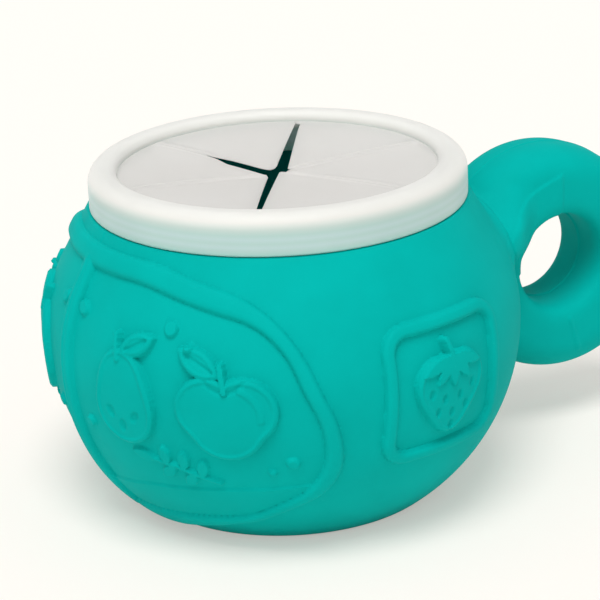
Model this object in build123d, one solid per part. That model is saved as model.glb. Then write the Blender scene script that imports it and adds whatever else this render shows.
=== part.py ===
"""Toddler snack container: a soft pot-bellied cup with a ring handle, and a soft cover with six flaps.

Millimetres. The origin is on the cup's axis at its flat base, +Z is up and +X points to the ring handle.
"""
from build123d import *
import os
from math import asin, atan2, cos, degrees, hypot, radians, sin, sqrt, tan

# Cup: its wall is two arcs that meet upright at the belly, and a straight shoulder up to the cover's seat
BELLY_R = 55.0
BELLY_Z = 40.5
LOWER_CURVE = 50.0        # radius of the arc below the belly
UPPER_CURVE = 36.0        # radius of the arc above it
SHOULDER_TILT = 29.0      # degrees, from upright
BASE_ROUND = 2.5
WALL = 3.0
FLOOR = 3.5
FLOOR_ROUND = 7.0
SEAT_Z = 69.8             # ledge that the cover's skirt comes down to
NECK_OUT_R = 41.1
NECK_IN_R = 38.9
RIM_Z = 76.8
RIM_BEVEL = 0.7

# Ring handle: an oval plate with a round finger hole, rounded all over, in the plane of the cup's axis
HANDLE_X = 71.8
HANDLE_Z = 41.7
HANDLE_LONG = 30.1        # half lengths of the oval
HANDLE_SHORT = 27.4
HANDLE_TILT = -40.0       # degrees, its long axis falls away from the cup
HANDLE_HALF = 10.5        # half its thickness
HANDLE_ROUND = 8.8
FINGER_R = 9.2
FINGER_X = 71.8
FINGER_Z = 42.0
FINGER_ROUND = 8.2
ROOT_ROUND = 2.0          # where the ring grows out of the wall

# Raised frames on the wall, drawn square-on from outside as (towards the handle, up)
BEAD = 1.5                # how far a bead stands out
BEAD_BEVEL = 0.7
FRAME_TURN = 144.0        # degrees from +X to the middle of the large frame on the +Y side
FRAME_OUTER = [
    (-45, 67.4), (-8, 67.6), (24.2, 60.2), (33.6, 35.3), (33.6, 19.9), (13, 9.4), (-10, 2.4), (-45, 1.6),
]
OUTER_CORNERS = [40, 30, 25, 16, 30, 30]
FRAME_INNER = [
    (-45, 62.8), (-10, 63.1), (22.0, 56.2), (30.5, 35.5), (30.5, 21.3), (11.5, 10.7), (-45, 2.6),
]
INNER_CORNERS = [40, 19, 20, 16, 25]
LEDGE = [(-45, 6), (-22, 13.4), (-10.8, 16.4), (6, 18.3), (45, 21.3)]  # step that crosses a large frame
LEDGE_OUT = 0.45
DIVIDER_WIDTH = 5.0
DIVIDER_LOW = 4.0
DIVIDER_HIGH = 64.5
WINDOW_TURN = 77.5        # degrees from +X to the middle of the small frame on the +Y side
WINDOW_Z = 38.3
WINDOW_WIDE = 33.6
WINDOW_HIGH = 32.4
WINDOW_CORNER = 6.5
WINDOW_BEAD = 3.0

# Raised plates inside a large frame: an apple and a pear, drawn the same way
PLATE_OUT = 1.4
APPLE_AT = (11.5, 38.5)
PEAR_AT = (-13.0, 40.0)

# Cover: a rim with a channel for the cup's neck between an outer skirt and an inner plug, and a slit disc
FIT = 0.2                 # clearance all round the neck
COVER_R = 43.4
COVER_TOP = 79.3
COVER_ROUND = 3.4
RIM_ROLL = 2.0            # round from the rim's top down to the disc
DISC_R = 36.8
DISC_TOP = 77.05
DISC_THICK = 1.5
PLUG_R = 36.9             # inside of the plug
PLUG_BOTTOM = 67.6
LIP_BEVEL = 0.5

# Flaps: six, between six slits that meet at the middle
FLAPS = 6
SLIT_TURN = 54.5          # degrees from +X to the first slit
SLIT_REACH = 35.0         # radius of the slits' outer ends
SLIT_WIDTHS = [(2.3, 1.4), (2.2, 0.4), (0.4, 0.4), (2.3, 1.3), (0.4, 0.4), (0.4, 0.4)]  # at tips, at roots
FLAP_SAG = 3.2            # degrees that the flaps droop at rest
HINGE_GAP = 0.25
TIP_ROUND = 1.2

HALF_STEP = 180.0 / FLAPS
HINGE_R = SLIT_REACH * cos(radians(HALF_STEP))
HINGE_Z = DISC_TOP - DISC_THICK / 2
FROM_BELOW = (Align.CENTER, Align.CENTER, Align.MIN)


def wall_edges(out, low, high):
    """Meridian of the wall, moved outwards by out, between two heights, as (radius, height) edges."""
    belly = (BELLY_R + out, BELLY_Z)
    sweep = degrees(asin((BELLY_Z - low) / (LOWER_CURVE + out)))
    below = JernArc(belly, (0, -1), LOWER_CURVE + out, -sweep)
    above = JernArc(belly, (0, 1), UPPER_CURVE + out, SHOULDER_TILT)
    climb = (high - (above @ 1).Y) / cos(radians(SHOULDER_TILT))
    shoulder = Line(above @ 1, (above @ 1) + (above % 1) * climb)
    return below, above, shoulder


def wall_radius(height, out):
    """Radius of the wall, moved outwards by out, at a height."""
    if height < BELLY_Z:
        return BELLY_R - LOWER_CURVE + sqrt((LOWER_CURVE + out) ** 2 - (BELLY_Z - height) ** 2)
    bend = BELLY_Z + (UPPER_CURVE + out) * sin(radians(SHOULDER_TILT))
    arc = sqrt((UPPER_CURVE + out) ** 2 - (min(height, bend) - BELLY_Z) ** 2)
    return BELLY_R - UPPER_CURVE + arc - max(height - bend, 0) * tan(radians(SHOULDER_TILT))


def wall_face(out, low, high):
    """Half section of the solid inside the wall moved outwards by out, flat at both heights."""
    below, above, shoulder = wall_edges(out, low, high)
    foot, top = below @ 1, shoulder @ 1
    core = Polyline((top.X, top.Y), (0, high), (0, low), (foot.X, foot.Y))
    return make_face([below, above, shoulder, *core.edges()])


def turned(face):
    """Solid of revolution about the cup's axis of a face drawn as (radius, height)."""
    return revolve(Plane.XZ * face, Axis.Z)


def rounded_at(face, height, radius):
    """The face with its corner away from the axis at a height rounded."""
    return fillet(face.vertices().filter_by(lambda v: abs(v.Y - height) < 0.01 and v.X > 1), radius)


def outer_body():
    """Cup without beads or cavity: rounded base, wall, seat ledge and neck."""
    pot = turned(rounded_at(wall_face(0, 0, SEAT_Z), 0, BASE_ROUND))
    return pot + Pos(0, 0, BELLY_Z) * Cylinder(NECK_OUT_R, RIM_Z - BELLY_Z, align=FROM_BELOW)


def cavity():
    """Space inside the cup: the pot, and the way out through the neck."""
    pot = turned(rounded_at(wall_face(-WALL, FLOOR, SEAT_Z), FLOOR, FLOOR_ROUND))
    return pot + Pos(0, 0, BELLY_Z) * Cylinder(NECK_IN_R, RIM_Z, align=FROM_BELOW)


def ring_handle():
    """Oval ring, round all over, that the wall swallows on the cup's side."""
    oval = Pos(HANDLE_X, HANDLE_Z) * Rot(0, 0, HANDLE_TILT) * Ellipse(HANDLE_LONG, HANDLE_SHORT)
    plate = extrude(Plane.XZ * oval, HANDLE_HALF, both=True)
    plate = fillet(plate.edges(), HANDLE_ROUND)
    hole = Plane.XZ * Pos(FINGER_X, FINGER_Z) * Circle(FINGER_R)
    ring = plate - extrude(hole, 2 * HANDLE_HALF, both=True)
    mouths = ring.edges().filter_by(GeomType.CIRCLE).filter_by(lambda e: abs(e.radius - FINGER_R) < 0.01)
    return fillet(mouths, FINGER_ROUND)


def at_root(edge):
    """Whether an edge is part of the line where the ring meets the wall."""
    points = [edge @ (share / 6) for share in range(7)]
    near = all(p.X > NECK_OUT_R and abs(p.Y) < HANDLE_HALF + 0.1 for p in points)
    return near and all(abs(hypot(p.X, p.Y) - wall_radius(p.Z, 0)) < 0.05 for p in points)


def on_wall(sketch, turn, out):
    """What a sketch, seen square-on at an angle from +X, covers of the wall, standing out by out."""
    outward = (cos(radians(turn)), sin(radians(turn)), 0)
    sideways = (-sin(radians(turn)), cos(radians(turn)), 0)
    view = Plane((0, 0, 0), x_dir=sideways, z_dir=outward)
    prism = extrude(view * Pos(0, 0, NECK_IN_R - 8) * sketch, BELLY_R)
    return prism & turned(wall_face(out, 0, SEAT_Z - FIT))


def bead(sketch, turn):
    """Raised bead on the wall with its crest bevelled."""
    band = on_wall(sketch, turn, BEAD)

    def on_crest(edge):
        points = [edge @ (share / 4) for share in range(5)]
        return all(abs(hypot(p.X, p.Y) - wall_radius(p.Z, BEAD)) < 0.02 for p in points)

    return chamfer(band.edges().filter_by(on_crest), BEAD_BEVEL)


def flipped(points):
    """Points of a drawing on the +Y side, where sideways runs away from the handle."""
    return [(-x, y) for x, y in points]


def frame_outline(points, corners):
    """Outline of a large frame, open past the cup's front, as a face."""
    path = FilletPolyline(*flipped(points), radius=corners)
    return make_face([*path.edges(), Line(path @ 1, path @ 0)])


def large_frame():
    """Bead frame on the +Y side from the front to the flank, with the low step that crosses it."""
    inner = frame_outline(FRAME_INNER, INNER_CORNERS)
    frame = bead(frame_outline(FRAME_OUTER, OUTER_CORNERS) - inner, FRAME_TURN)
    below = Polygon(*flipped([*LEDGE, (LEDGE[-1][0], 0), (LEDGE[0][0], 0)]), align=None)
    near_side = Box(4 * BELLY_R, 2 * BELLY_R, 4 * BELLY_R, align=(Align.CENTER, Align.MIN, Align.CENTER))
    return (frame + on_wall(inner & below, FRAME_TURN, LEDGE_OUT)) & near_side


def divider():
    """Upright bead at the front, between the two large frames."""
    height = DIVIDER_HIGH - DIVIDER_LOW
    return bead(Pos(0, DIVIDER_LOW + height / 2) * Rectangle(DIVIDER_WIDTH, height), 180)


def window():
    """Small bead frame on the +Y side, between the large frame and the handle."""
    outside = RectangleRounded(WINDOW_WIDE, WINDOW_HIGH, WINDOW_CORNER)
    inside = offset(outside, -WINDOW_BEAD)
    return bead(Pos(0, WINDOW_Z) * (outside - inside), WINDOW_TURN)


def dot(x, y, radius):
    return Pos(x, y) * Circle(radius)


def leaf(start, end, bulge):
    """Pointed leaf between two points, made by two equal arcs."""
    start, end = Vector(*start), Vector(*end)
    length = (end - start).length
    radius = (length ** 2 / 4 + bulge ** 2) / (2 * bulge)
    aside = (end - start).normalized().rotate(Axis.Z, 90) * (radius - bulge)
    one, two = (start + end) / 2 + aside, (start + end) / 2 - aside
    return dot(one.X, one.Y, radius) & dot(two.X, two.Y, radius)


def apple():
    return dot(-3.8, 0.8, 7.4) + dot(3.8, 0.8, 7.4) + dot(0, -2.4, 8.4) + leaf((0.8, 8.0), (10.6, 13.6), 2.8)


def pear():
    neck = Polygon((-7.4, -1.5), (7.6, -1.9), (4.8, 6.3), (-4.1, 6.0), align=None)
    return dot(0, -4.0, 7.8) + dot(0.4, 5.0, 4.6) + neck + leaf((0.8, 9.0), (-8.2, 13.4), 2.4)


def plates():
    """Raised plates in the large frame on the +Y side."""
    (apple_x, apple_z), (pear_x, pear_z) = flipped([APPLE_AT, PEAR_AT])
    return on_wall(Pos(apple_x, apple_z) * apple() + Pos(pear_x, pear_z) * pear(), FRAME_TURN, PLATE_OUT)


def cup():
    """The whole cup, one moulding with its handle and beads."""
    solid = outer_body() + ring_handle()
    solid = fillet(solid.edges().filter_by(at_root), ROOT_ROUND)
    for relief in (large_frame(), window(), plates()):
        solid = solid + relief + mirror(relief, Plane.XZ)
    solid = solid + divider() - cavity()
    return chamfer(solid.edges().filter_by(lambda e: abs((e @ 0).Z - RIM_Z) < 0.01), RIM_BEVEL)


def cover_face():
    """Half section of the cover."""
    skirt_r, plug_out_r = NECK_OUT_R + FIT, NECK_IN_R - FIT
    outer_arc = JernArc((COVER_R, COVER_TOP - COVER_ROUND), (0, 1), COVER_ROUND, 90)
    crest = Line((COVER_R - COVER_ROUND, COVER_TOP), (DISC_R + RIM_ROLL, COVER_TOP))
    inner_arc = JernArc(crest @ 1, (-1, 0), RIM_ROLL, 90)
    under = Polyline(
        (DISC_R, COVER_TOP - RIM_ROLL), (DISC_R, DISC_TOP), (0, DISC_TOP), (0, DISC_TOP - DISC_THICK),
        (PLUG_R, DISC_TOP - DISC_THICK), (PLUG_R, PLUG_BOTTOM), (plug_out_r, PLUG_BOTTOM),
        (plug_out_r, RIM_Z + FIT), (skirt_r, RIM_Z + FIT), (skirt_r, SEAT_Z + FIT),
        (COVER_R, SEAT_Z + FIT), (COVER_R, COVER_TOP - COVER_ROUND),
    )
    face = make_face([outer_arc, crest, inner_arc, *under.edges()])
    lips = face.vertices().filter_by(lambda v: min(abs(v.Y - PLUG_BOTTOM), abs(v.Y - SEAT_Z - FIT)) < 0.01)
    face = chamfer(lips, LIP_BEVEL)
    return chamfer(face.vertices().filter_by(lambda v: abs(v.Y - RIM_Z - FIT) < 0.01), RIM_BEVEL)


def hinge_plane(number):
    """Plane of a flap's hinge: origin on its line, x towards the middle, y along the line, z up."""
    turn = radians(SLIT_TURN + (2 * number + 1) * HALF_STEP)
    origin = (HINGE_R * cos(turn), HINGE_R * sin(turn), HINGE_Z)
    return Plane(origin, x_dir=(-cos(turn), -sin(turn), 0), z_dir=(0, 0, 1))


def hinge_rod(number, radius, half_length):
    """Round bar along a flap's hinge line."""
    return hinge_plane(number) * Rot(90, 0, 0) * Cylinder(radius, 2 * half_length)


def cover():
    """Rim, skirts and the ring of disc round a six-sided hole, hollowed along each hinge line."""
    corners = [Vector(SLIT_REACH, 0).rotate(Axis.Z, SLIT_TURN + 2 * HALF_STEP * k) for k in range(FLAPS)]
    hole = extrude(Pos(0, 0, DISC_TOP - 2 * DISC_THICK) * Polygon(*corners, align=None), 3 * DISC_THICK)
    solid = turned(cover_face()) - hole
    for number in range(FLAPS):
        solid -= hinge_rod(number, DISC_THICK / 2 + HINGE_GAP, SLIT_REACH / 2)
    return solid


def flap_edge(widths, side):
    """A flap's edge along one slit, as the point and direction of a line in its hinge plane."""
    tip, root = widths
    along = Vector(-cos(radians(HALF_STEP)), side * sin(radians(HALF_STEP)))
    inwards = Vector(-sin(radians(HALF_STEP)), -side * cos(radians(HALF_STEP)))
    start = Vector(HINGE_R, 0) + inwards * (tip / 2)
    end = Vector(HINGE_R, 0) + along * SLIT_REACH + inwards * (root / 2)
    return start, end - start


def flap(number):
    """Three-sided flap, round along its hinge line and at its tip, drooping a little."""
    radius = DISC_THICK / 2
    (a, u), (b, v) = flap_edge(SLIT_WIDTHS[number], 1), flap_edge(SLIT_WIDTHS[(number + 1) % FLAPS], -1)
    reach = ((b.X - a.X) * v.Y - (b.Y - a.Y) * v.X) / (u.X * v.Y - u.Y * v.X)
    tip = a + u * reach
    left, right = a + u * ((radius - a.X) / u.X), b + v * ((radius - b.X) / v.X)
    outline = Polygon((0, right.Y), (radius, right.Y), (tip.X, tip.Y), (radius, left.Y), (0, left.Y), align=None)
    outline = fillet(outline.vertices().sort_by(Axis.X)[-1], TIP_ROUND)
    root = Pos(0, (left.Y + right.Y) / 2) * Rot(90, 0, 0) * Cylinder(radius, left.Y - right.Y)
    plate = extrude(outline, radius, both=True) + root
    return hinge_plane(number) * Rot(0, FLAP_SAG, 0) * plate


pieces = {"cup": cup(), "cover": cover()}
for number in range(FLAPS):
    pieces[f"flap_{number + 1}"] = flap(number)

os.makedirs("parts", exist_ok=True)
for name, solid in pieces.items():
    export_step(solid, f"parts/{name}.step")
    print(name, round(solid.volume), "mm3", solid.is_valid)
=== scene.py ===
"""Looks of a toddler snack container: a matte silicone cup with raised relief, and its slit cover.

Sizes are in millimetres in the part's own frame. MM turns them into metres where a mesh is made.
"""
import math

import bpy
import numpy as np
from mathutils import Matrix, Vector


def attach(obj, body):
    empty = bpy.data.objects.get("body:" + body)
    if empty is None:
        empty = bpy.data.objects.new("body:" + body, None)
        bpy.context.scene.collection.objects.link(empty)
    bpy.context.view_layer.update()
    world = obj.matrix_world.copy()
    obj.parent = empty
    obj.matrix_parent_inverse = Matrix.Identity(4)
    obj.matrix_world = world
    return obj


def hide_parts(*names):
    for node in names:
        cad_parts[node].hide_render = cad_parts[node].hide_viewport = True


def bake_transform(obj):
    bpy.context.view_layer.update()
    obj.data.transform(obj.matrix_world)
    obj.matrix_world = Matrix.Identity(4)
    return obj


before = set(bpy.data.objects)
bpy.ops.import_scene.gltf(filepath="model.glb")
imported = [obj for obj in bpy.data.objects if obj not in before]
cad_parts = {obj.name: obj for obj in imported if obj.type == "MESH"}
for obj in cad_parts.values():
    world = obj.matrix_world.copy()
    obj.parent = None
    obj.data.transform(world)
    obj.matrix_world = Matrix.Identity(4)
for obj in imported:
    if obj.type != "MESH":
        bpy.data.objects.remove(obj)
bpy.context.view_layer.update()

MM = 0.001

# Cup wall: two arcs that meet upright at the belly, and a straight shoulder
BELLY_R, BELLY_Z = 55.0, 40.5
LOWER_CURVE, UPPER_CURVE = 50.0, 36.0
SHOULDER_TILT = math.radians(29.0)
BASE_ROUND = 2.5
WALL = 3.0
FLOOR_Z, FLOOR_ROUND = 3.5, 7.0
SEAT_Z, RIM_Z = 69.8, 76.8
NECK_OUT_R, NECK_IN_R = 41.1, 38.9
RIM_BEVEL = 0.7

# Ring handle
RING_X, RING_Z = 71.8, 41.7
RING_LONG, RING_SHORT, RING_TILT = 30.1, 27.4, math.radians(-40.0)
RING_HALF = 10.5
FINGER_X, FINGER_Z, FINGER_R = 71.8, 41.9, 11.4
# Exponents of its rounded section, outside and round the finger hole: more is squarer
OUTER_SQUARENESS, HOLE_SQUARENESS = 2.6, 5.5
# How much wider it is on either side at its upper root: from this x inwards, and between these heights,
# each with the length over which the widening grows or goes
ROOT_WIDER = 9.0
WIDER_X, WIDER_LENGTH = 64.5, 13.0
WIDER_HEIGHTS = (44.0, 8.0, 65.0, 10.0)
# How far the ring and the wall flow into each other: anywhere, and more on the sides high up
ROOT_BLEND, ROOT_FLARE = 3.2, 4.0
FLARE_HEIGHTS = (44.0, 10.0, 68.0, 10.0)
FLARE_SIDE, FLARE_WIDTH = 4.0, 6.0
FLOW_PASSES = 6
# Above this the flow fades out, clear of the cover's skirt
ROOT_TOP = 66.0
# The stretch of wall that the flow can reach
NEAR_RING_X, NEAR_RING_Y = 20.0, 36.0
# Faint raised pad at the upper root and a line on the lower leg, on both sides, as (x, z)
PAD = [(71.4, 40), (71.4, 64.4), (66.0, 62.6), (60.4, 60.4),
       (55.4, 58.2), (51.4, 55.0), (48.0, 50.0), (44.0, 42)]
PAD_OUT, PAD_EDGE = 0.4, 0.9
LEG_LINE = ((73.4, 27.0), (75.9, 18.6))
LEG_LINE_SHARE, LEG_LINE_HALF = 0.7, 0.6
# They grow from this far off the middle plane, over this width
MARKS_SIDE, MARKS_WIDTH = 5.0, 4.0
# The mould line is twice as high up to this far beyond the finger hole's wall
HOLE_EDGE = 1.0

# Raised frames, drawn square-on from outside as (towards the front, up)
BEAD = 1.5
FRAME_TURN = math.radians(144.0)
FRAME_OUTER = [(45, 67.4), (8, 67.6), (-24.2, 60.2), (-33.6, 35.3),
               (-33.6, 19.9), (-13, 9.4), (10, 2.4), (45, 1.6)]
OUTER_CORNERS = [40, 30, 25, 16, 30, 30]
FRAME_INNER = [(45, 62.8), (10, 63.1), (-22, 56.2), (-30.5, 35.5),
               (-30.5, 21.3), (-11.5, 10.7), (45, 2.6)]
INNER_CORNERS = [40, 19, 20, 16, 25]
LEDGE = [(45, 6), (22, 13.4), (10.8, 16.4), (-6, 18.3), (-45, 21.3), (-45, -9), (45, -9)]
LEDGE_OUT = 0.45
DIVIDER_HALF, DIVIDER_LOW, DIVIDER_HIGH = 2.5, 4.0, 64.5
WINDOW_TURN = math.radians(77.5)
WINDOW_Z, WINDOW_WIDE, WINDOW_HIGH = 38.3, 33.6, 32.4
WINDOW_CORNER, WINDOW_BEAD = 6.5, 3.0

# Raised plates with a line inside their edges, and the finer forms on them and on the wall:
# how far each stands out or is sunk, how soft its edges are, and where it is set
PLATE_OUT, BERRY_OUT, PLATE_EDGE = 1.4, 1.3, 0.45
LINE_OUT, LINE_HALF, LINE_INSET = 0.3, 0.55, 0.95
STEM_OUT, CROWN_OUT, SPRIG_OUT, DOT_OUT = 1.9, 2.0, 0.9, 0.9
DIMPLE_DEEP, VEIN_DEEP, SEED_DEEP = 0.35, 0.4, 0.5
HAIRLINE, FINE_EDGE, SOFT_EDGE = 0.1, 0.5, 0.6
MOULD_LINE_OUT, MOULD_LINE_HALF = 0.16, 0.3
APPLE_AT, PEAR_AT = (-11.5, 38.5), (13.0, 40.0)
SPRIG_AT, BERRY_AT = (1.5, 24.8), (0.0, 37.6)
MOTIF_REACH, MOTIF_INSET = 18.0, 0.4
DOTS = [(1.4, 55.6, 1.6), (-3.6, 52.4, 0.9), (-24.0, 26.2, 1.3),
        (-19.6, 23.8, 0.8), (25.2, 29.5, 1.3), (26.6, 55.0, 1.5)]

# Cover
FIT = 0.2
COVER_R, COVER_TOP, COVER_ROUND, RIM_ROLL = 43.4, 79.3, 3.4, 2.0
DISC_R = 36.8
DISC_TOP, DISC_THICK = 77.05, 1.5
PLUG_R, PLUG_BOTTOM = 36.9, 69.3
LIP_ROUND = 0.5

# Flaps
FLAPS = 6
FLAP_STEP = 2 * math.pi / FLAPS
SLIT_TURN = math.radians(54.5)
HINGE_CORNER_R = 35.0
HINGE_R = HINGE_CORNER_R * math.cos(FLAP_STEP / 2)
# Each flap's clearance from the middle of its first slit and of its second one,
# given at the disc's middle and at the slit's end
FLAP_EDGES = [((0.92, -0.1), (0.6, 0.5)), ((1.6, 1.5), (0.12, 0.12)), ((0.12, 0.12), (1.95, 0.66)),
              ((0.6, 0.58), (0.12, 0.12)), ((0.12, 0.12), (0.12, 0.12)), ((0.12, 0.12), (2.15, 1.35))]
# The radius at which each slit begins to close, the length over which it closes, and what stays open
SLIT_ENDS = [34.0, 13.5, 35.4, 31.8, 34.4, 36.0]
SLIT_TAPERS = [0.5, 4.5, 0.5, 0.5, 0.5, 0.5]
SHUT_GAP = 0.02
# The radius at which each slit's cut ends, and the slits that are shut all along
SLIT_LINES = [36.0, 36.4, 35.4, 33.0, 34.4, 36.2]
SHUT_SLITS = (2, 4, 5)
# Radius of each flap's rounded tip, and how far the tip sags
TIP_ROUNDS = [1.8, 0.7, 1.0, 0.6, 1.8, 0.6]
TIP_DROPS = [2.0, 2.4, 2.2, 1.2, 1.6, 1.6]
SAG_POWER = 1.6
# A flap leans its tip sideways where its slits differ, less and less out to this radius
LEAN_END = 30.0
# A free edge's thickness and rounding, the rounding's width, and how far in the disc is thick again:
# less at the tip
EDGE_THICK, EDGE_ROUND, ROUND_WIDTH = 0.15, 0.08, 0.16
EDGE_BEVEL, TIP_LESS = 3.6, 1.0
CUT_FADE = 0.6
# Lips: a slight swelling beside a shut slit, with its height, place, width and fades
LIP_RISE, LIP_PLACE, LIP_WIDTH = 0.42, 0.6, 0.4
LIP_FROM, LIP_GROW, LIP_FADE = 2.0, 3.0, 0.8
# A shallow groove where the disc meets the rim
GROOVE_R, GROOVE_WIDTH, GROOVE_DEEP = 36.2, 0.5, 0.2

FULL_STEPS, QUICK_STEPS = (0.28, 0.28), (0.6, 0.7)
# Where three stretches round the cup end, in degrees, and their spacing where it isn't the relief's:
# the handle's side, the plain wall beside it, and the mould line at the front
HANDLE_SIDE, PLAIN_SIDE, SEAM_SIDE = 36.0, 57.0, 1.2
HANDLE_TURN, PLAIN_TURN, SEAM_TURN = 0.8, 1.2, 0.12
# Along flats, plain walls, short runs and edges, and along rounds, the cover's roll and its lips
FLAT_STEP, PLAIN_STEP, SHORT_STEP, EDGE_STEP = 4.0, 2.0, 1.0, 0.5
ROUND_STEP, ROLL_STEP, LIP_STEP = 0.3, 0.25, 0.2
RIM_TURNS = 240
# A flap's rows, from its tip and then evenly, closer at the rim and just into it; its columns, from
# each edge inwards up to a share of its width, and the count between them
TIP_ROWS = [0.001, 0.03, 0.1, 0.22, 0.4, 0.62, 0.9, 1.25, 1.7, 2.2]
EVEN_ROWS_FROM, ROW_STEP = 2.9, 0.8
RIM_ROWS_R, RIM_ROW_STEP, INTO_RIM = 36.0, 0.25, 0.3
EDGE_COLUMNS, EDGE_SHARE = [0, 0.05, 0.14, 0.28, 0.45, 0.7, 1.0, 1.4], 0.32
MIDDLE_COLUMNS = 13
# Edges bent by more than this stay sharp
SHARP, RIM_SHARP = math.radians(50.0), math.radians(40.0)

# Camera, solved from the photograph's outlines: 600 pixels wide, aimed past the middle of the cup
VIEW_TURN = math.radians(28.0)
VIEW_UP = math.radians(20.13)
VIEW_ROLL = math.radians(-2.49)
VIEW_FAR = 600.0
VIEW_SIDE, VIEW_RISE = 3.86, 3.92
VIEW_AIM_Z = 40.0
LENS, SENSOR = 154.2, 36.0
CLIP_NEAR, CLIP_FAR = 10.0, 20000.0

# Colours as red, green and blue from 0 to 255
TEAL_DEEP, TEAL_CLEAR, TEAL_DUST = (0, 170, 163), (0, 178, 171), (40, 194, 186)
DUST_SHARE = 0.25
PAPER, PAPER_LIT = (255, 251, 246), (255, 248, 242)
# The cover's colours by height: a painted teal glow at the skirt's edge and painted faint even bands
# above it where the skirt is thin, both standing for the teal cup seen through it, milky in the thick
# crown; and the disc's
SKIRT_PAINTED_GLOW, PAINTED_GLOW_BAND, PAINTED_PALE_BAND = (190, 240, 230), (205, 235, 230), (215, 240, 240)
CROWN_MILKY = (245, 245, 240)
SKIRT_EDGE_Z, BAND_Z, BAND_STEP, BANDS, CROWN_Z = 70.0, 71.2, 0.9, 5, 77.6
# Painted teal glow on the skirt: the cup seen through it, as a tint and faint bands fixed by height
RIM_COLOURS_AND_PAINTED_GLOW = [(SKIRT_EDGE_Z, SKIRT_PAINTED_GLOW)]
RIM_COLOURS_AND_PAINTED_GLOW += [(BAND_Z + BAND_STEP * k, PAINTED_PALE_BAND if k % 2 else PAINTED_GLOW_BAND) for k in range(BANDS)]
RIM_COLOURS_AND_PAINTED_GLOW += [(CROWN_Z, CROWN_MILKY)]
DISC_COLOURS = [(73.0, (252, 248, 244)), (77.5, (250, 247, 243))]
# Levels that a colour is multiplied by, or a mask's ends
BLACK, MOTTLE, WHITE = (0, 0, 0, 1), (0.965, 0.965, 0.965, 1), (1, 1, 1, 1)
# Opacity of the rim low on its skirt and in its crown, and of the disc
SKIRT_ALPHA, CROWN_ALPHA, DISC_ALPHA = 0.72, 0.84, 0.62
SKIRT_CLEAR_Z, CROWN_MILKY_Z = 75.4, 78.6

# The floor's half width and its drop below the cup, how much of what the camera sees of it is plain,
# and the even light from all round
FLOOR_HALF, FLOOR_DROP = 3000.0, 0.2
PLAIN_SHARE = 0.4
SKY_COLOUR, SKY_STRENGTH = (1.0, 0.99, 0.98, 1), 0.5


# ---------------------------------------------------------------- meshes

def mesh_object(name, points, faces, sharp=None):
    """Smooth-shaded object from points in millimetres; edges bent by more than sharp stay sharp."""
    mesh = bpy.data.meshes.new(name)
    mesh.from_pydata((np.asarray(points) * MM).tolist(), [], [list(map(int, f)) for f in faces])
    mesh.validate()
    mesh.polygons.foreach_set("use_smooth", [True] * len(mesh.polygons))
    if sharp is not None:
        mesh.set_sharp_from_angle(angle=sharp)
    obj = bpy.data.objects.new(name, mesh)
    bpy.context.scene.collection.objects.link(obj)
    return obj


def grid_faces(rows, columns, wrap_rows, wrap_columns):
    """Quads of a grid of points numbered row by row."""
    r = np.arange(rows if wrap_rows else rows - 1)
    c = np.arange(columns if wrap_columns else columns - 1)
    r, c = np.meshgrid(r, c, indexing="ij")
    r2, c2 = (r + 1) % rows, (c + 1) % columns
    quads = np.stack([r * columns + c, r * columns + c2, r2 * columns + c2, r2 * columns + c], -1)
    return quads.reshape(-1, 4)


def revolved(section, turns):
    """Points, or directions, of a half section at each of the angles."""
    return np.stack([
        np.outer(section[:, 0], np.cos(turns)),
        np.outer(section[:, 0], np.sin(turns)),
        np.repeat(section[:, 1:], len(turns), 1),
    ], -1)


def arc(centre, radius, start, end, step):
    """Points along an arc in a half section, ends included."""
    count = max(2, int(math.ceil(abs(end - start) * radius / step)) + 1)
    turn = np.linspace(start, end, count)
    return np.stack([centre[0] + radius * np.cos(turn), centre[1] + radius * np.sin(turn)], -1)


def line(a, b, step):
    """Points along a straight stretch, ends included."""
    count = max(2, int(math.ceil(math.dist(a, b) / step)) + 1)
    return np.linspace(a, b, count)


def joined(*stretches):
    """One outline from stretches that meet end to end."""
    out = [stretches[0]]
    for stretch in stretches[1:]:
        out.append(stretch[1:] if np.allclose(out[-1][-1], stretch[0], atol=1e-6) else stretch)
    return np.concatenate(out)


def outline_normals(points):
    """Unit normals to the right of an open outline's direction of travel."""
    along = np.gradient(points, axis=0)
    along /= np.linalg.norm(along, axis=1)[:, None]
    return np.stack([along[:, 1], -along[:, 0]], -1)


def rounded_path(points, radii, arc_points=12):
    """Outline through points with its inner corners rounded."""
    path = [np.array(points[0], float)]
    for before, corner, after, radius in zip(points, points[1:], points[2:], radii):
        corner = np.array(corner, float)
        a, b = np.array(before, float) - corner, np.array(after, float) - corner
        a, b = a / np.linalg.norm(a), b / np.linalg.norm(b)
        half = math.acos(np.clip(a @ b, -1, 1)) / 2
        centre = corner + (a + b) / np.linalg.norm(a + b) * radius / math.sin(half)
        first, last = corner + a * radius / math.tan(half), corner + b * radius / math.tan(half)
        for share in np.linspace(0, 1, arc_points):
            ray = (first - centre) * (1 - share) + (last - centre) * share
            path.append(centre + ray / np.linalg.norm(ray) * radius)
    path.append(np.array(points[-1], float))
    return np.array(path)


# ---------------------------------------------------------------- distances in a flat drawing

def outline_distance(p, outline):
    """Signed distance of points p to a closed outline, negative inside."""
    best = np.full(len(p), np.inf)
    inside = np.zeros(len(p), bool)
    for a, b in zip(outline, np.roll(outline, -1, axis=0)):
        edge, to = b - a, p - a
        share = np.clip((to @ edge) / max(edge @ edge, 1e-12), 0, 1)
        best = np.minimum(best, np.linalg.norm(to - share[:, None] * edge, axis=1))
        crosses = (a[1] > p[:, 1]) != (b[1] > p[:, 1])
        rise = b[1] - a[1] if abs(b[1] - a[1]) > 1e-12 else 1e-12
        inside ^= crosses & (p[:, 0] < a[0] + (p[:, 1] - a[1]) * edge[0] / rise)
    return np.where(inside, -best, best)


def circle(p, x, y, radius):
    """Distance to a circle, negative inside, as in all these shapes."""
    return np.hypot(p[:, 0] - x, p[:, 1] - y) - radius


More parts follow.
